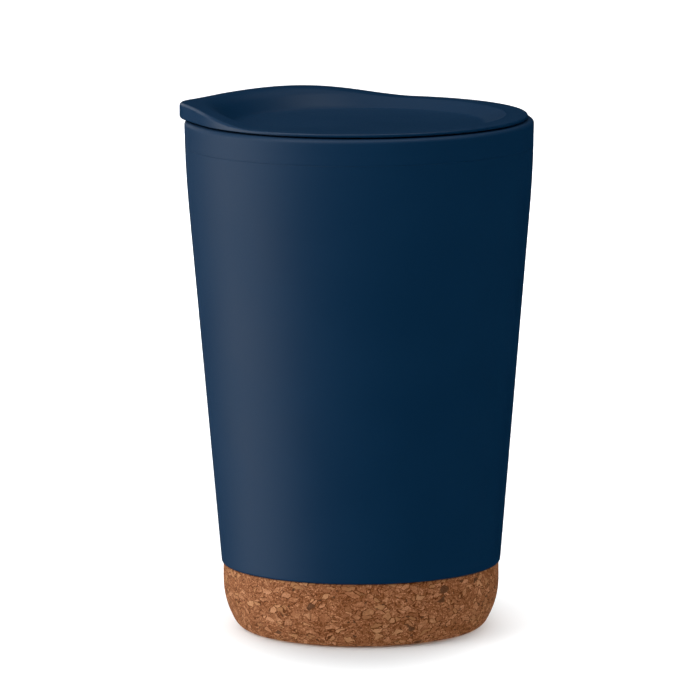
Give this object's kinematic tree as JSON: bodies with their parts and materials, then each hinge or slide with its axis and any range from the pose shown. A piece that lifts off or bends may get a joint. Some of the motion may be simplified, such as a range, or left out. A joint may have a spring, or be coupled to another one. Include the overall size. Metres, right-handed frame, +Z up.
{
  "type": "travel cup",
  "caption": "Tapered double-walled travel cup on a cork foot, with a push-in lid that has a wavy rim, a dished top and a rounded thumb tab.",
  "frame": {"origin": "centre of the cork's flat underside, where the cup stands", "axes": "+Z up along the cup's axis, -X towards the lid's thumb tab, -Y towards the viewer"},
  "size_m": [0.0862, 0.085, 0.1291],
  "materials": {
    "shell_plastic": "navy, soft matte moulded plastic",
    "liner_plastic": "navy, soft matte moulded plastic",
    "lid_plastic": "navy, soft satin moulded plastic",
    "plug_plastic": "navy, satin moulded plastic",
    "cork": "pressed cork granules, sanded, unsealed",
    "adhesive_pad": "thin double-sided foam",
    "gasket_silicone": "translucent grey silicone"
  },
  "bodies": {
    "cup": {"outer_shell": "shell_plastic", "inner_liner": "liner_plastic", "cork_base": "cork", "base_pad": "adhesive_pad"},
    "lid": {"lid_cover": "lid_plastic", "lid_plug": "plug_plastic", "lid_gasket": "gasket_silicone"}
  },
  "joints": [
    {"name": "lid_lift", "type": "slide", "parent": "cup", "child": "lid", "axis": [0, 0, 1], "range_m": [0, 0.06]}
  ]
}
